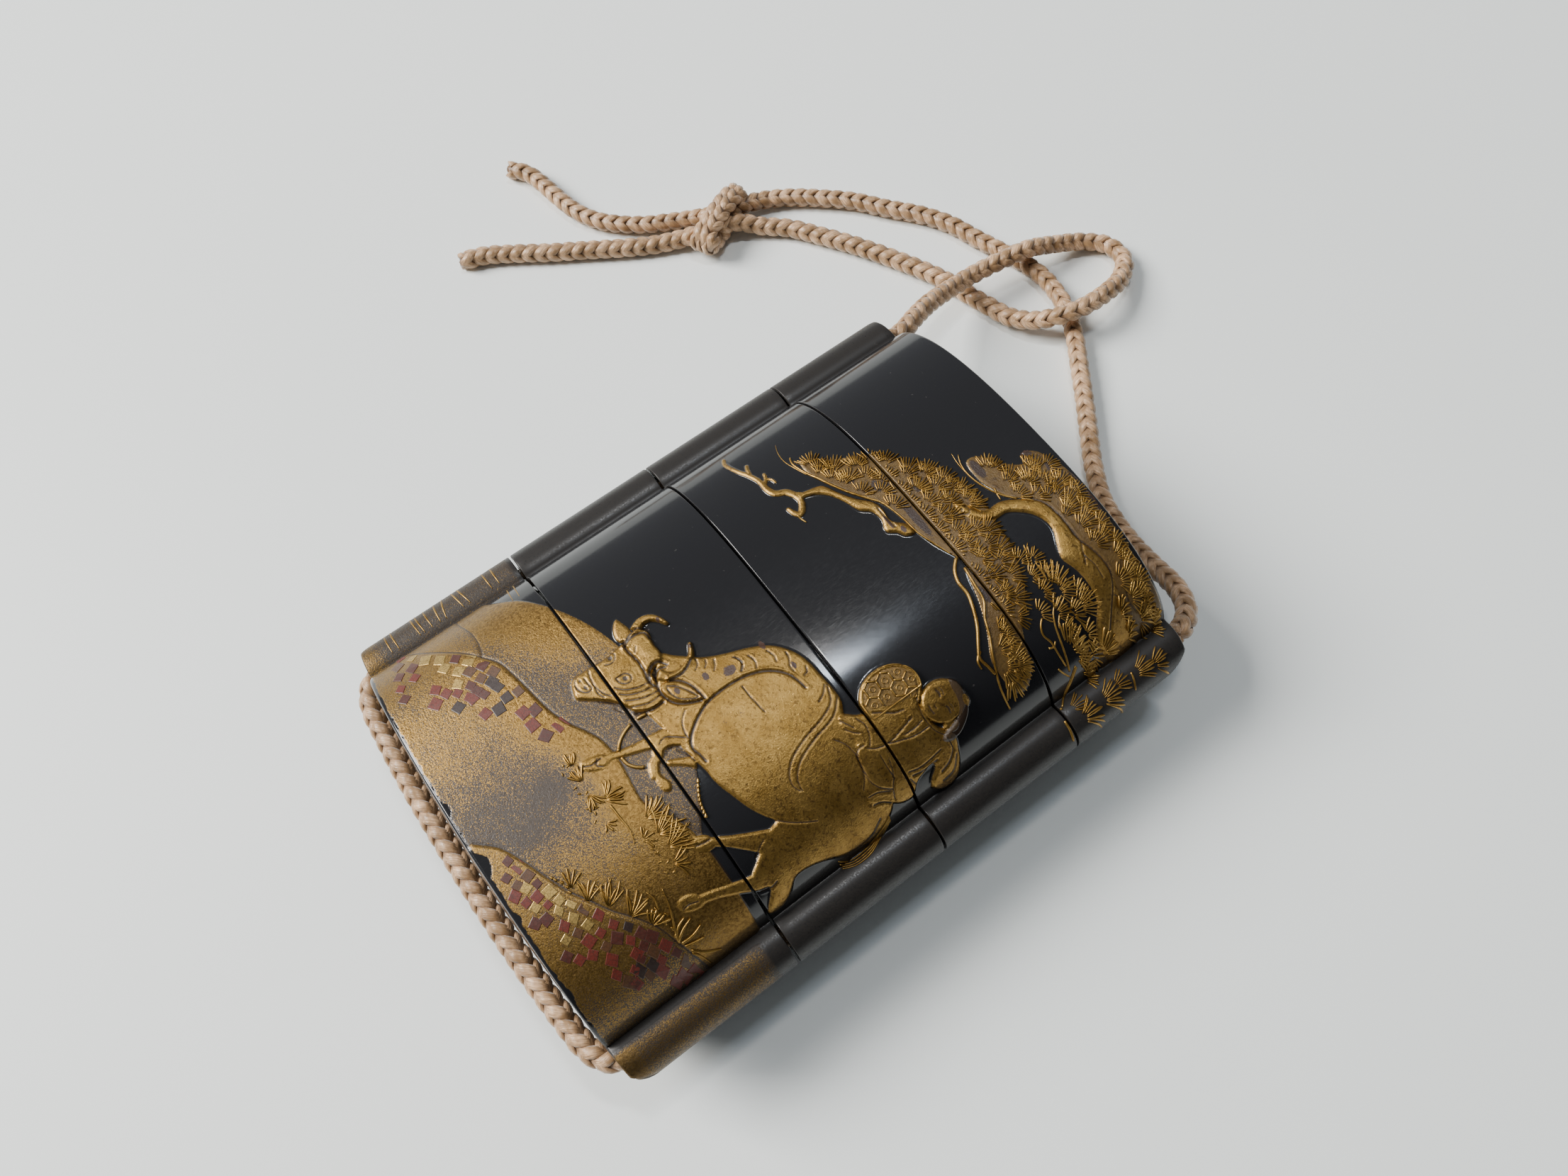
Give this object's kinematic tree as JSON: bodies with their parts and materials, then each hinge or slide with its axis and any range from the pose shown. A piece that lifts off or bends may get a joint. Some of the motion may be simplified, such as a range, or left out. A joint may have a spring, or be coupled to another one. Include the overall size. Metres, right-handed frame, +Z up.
{
  "type": "inro case",
  "caption": "Tiered lacquer inro, flattened oval with a runner ridge down each side, nesting trays, a lid and one braided silk cord knotted at the top",
  "frame": {"origin": "on the surface that the case lies on, under the middle of its length and width", "axes": "+Z up through the picture side, +Y along the case to the lid's end, +X across it to the right of the picture"},
  "size_m": [0.1272, 0.1285, 0.0261],
  "materials": {
    "lacquer": "black lacquer over thin wood, polished, with fine scratches and worn edges",
    "gold_lacquer": "raised gold powder lacquer, satin, rubbed brown in places",
    "inlay": "small cut squares in dark red, black and pale gold set in lacquer",
    "silk_cord": "tan braided silk, soft sheen"
  },
  "bodies": {
    "root": {"bottom_case": "lacquer", "middle_case": "lacquer", "upper_case": "lacquer", "lid": "lacquer", "cord_in_runners": "silk_cord", "cord_left_end": "silk_cord", "cord_right_end": "silk_cord", "cord_knot": "silk_cord", "cord_upper_tail": "silk_cord", "cord_lower_tail": "silk_cord"}
  },
  "joints": []
}
